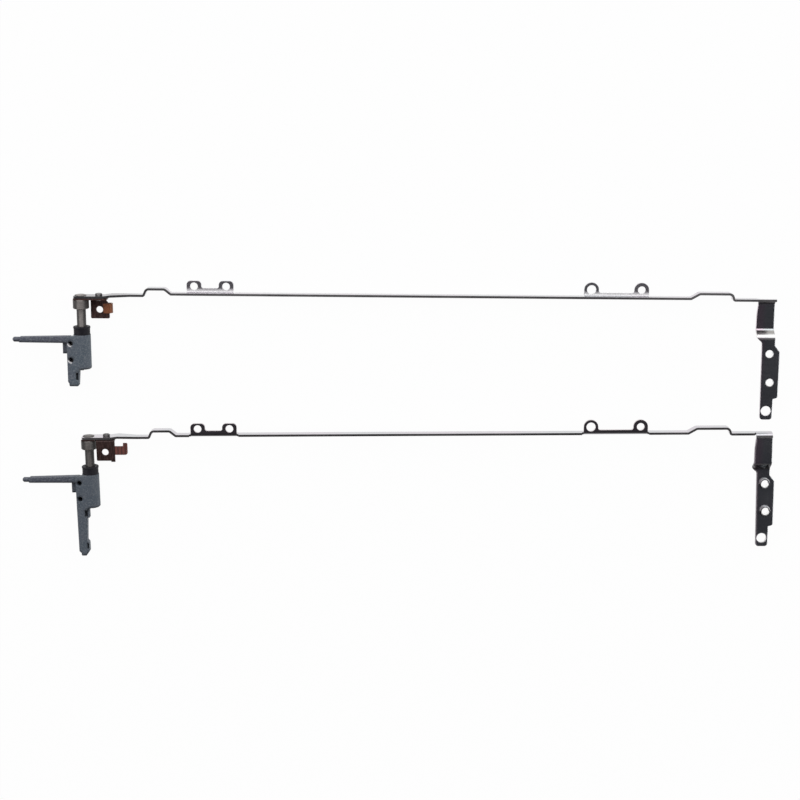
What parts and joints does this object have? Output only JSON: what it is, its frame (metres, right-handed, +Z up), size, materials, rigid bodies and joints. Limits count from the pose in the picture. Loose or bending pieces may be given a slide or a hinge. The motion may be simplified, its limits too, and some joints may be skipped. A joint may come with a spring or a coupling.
{
  "type": "laptop hinge pair",
  "caption": "Left and right friction hinges of a laptop screen: long folded steel rails with screw ears and stepped arms turn on small die-cast base brackets, with bronze cable clips.",
  "frame": {"origin": "the middle of the pair's bounding box in plan, on the table it lies on", "axes": "+X runs along the screen rails from the shafts to the stepped arms, +Y runs from the right hinge to the left hinge, +Z is up from the table"},
  "size_m": [0.2522, 0.0926, 0.0056],
  "materials": {
    "left_rail": "dark plated sheet steel with bright worn edges",
    "right_rail": "dark plated sheet steel with bright worn edges",
    "shaft": "turned steel with a warm tint",
    "rivet": "bright rolled steel",
    "left_clip": "dark bronze strip",
    "right_clip": "dark reddish bronze strip",
    "bush": "black moulded plastic",
    "bracket": "matte blue-grey die casting with fine grain",
    "friction_spring": "greased spring steel"
  },
  "bodies": {
    "base_brackets": {"left_base_bracket": "bracket", "left_shaft_bush": "bush", "left_friction_clip_1": "friction_spring", "left_friction_clip_2": "friction_spring", "left_friction_clip_3": "friction_spring", "left_friction_clip_4": "friction_spring", "left_friction_clip_5": "friction_spring", "right_base_bracket": "bracket", "right_shaft_bush": "bush", "right_friction_clip_1": "friction_spring", "right_friction_clip_2": "friction_spring", "right_friction_clip_3": "friction_spring", "right_friction_clip_4": "friction_spring", "right_friction_clip_5": "friction_spring"},
    "left_screen_side": {"left_screen_rail": "left_rail", "left_hinge_shaft": "shaft", "left_cable_clip": "left_clip", "left_clip_rivet": "rivet"},
    "right_screen_side": {"right_screen_rail": "right_rail", "right_hinge_shaft": "shaft", "right_cable_clip": "right_clip", "right_clip_rivet": "rivet"}
  },
  "joints": [
    {"name": "left_screen_turn", "type": "hinge", "parent": "base_brackets", "child": "left_screen_side", "pos_m": [-0.10365, 0.03166, 0.0028], "axis": [-0.0087, -1, 0], "range_deg": [0, 180]},
    {"name": "right_screen_turn", "type": "hinge", "parent": "base_brackets", "child": "right_screen_side", "pos_m": [-0.10301, -0.01569, 0.0028], "axis": [-0.0052, 1, 0], "range_deg": [0, 180]}
  ]
}
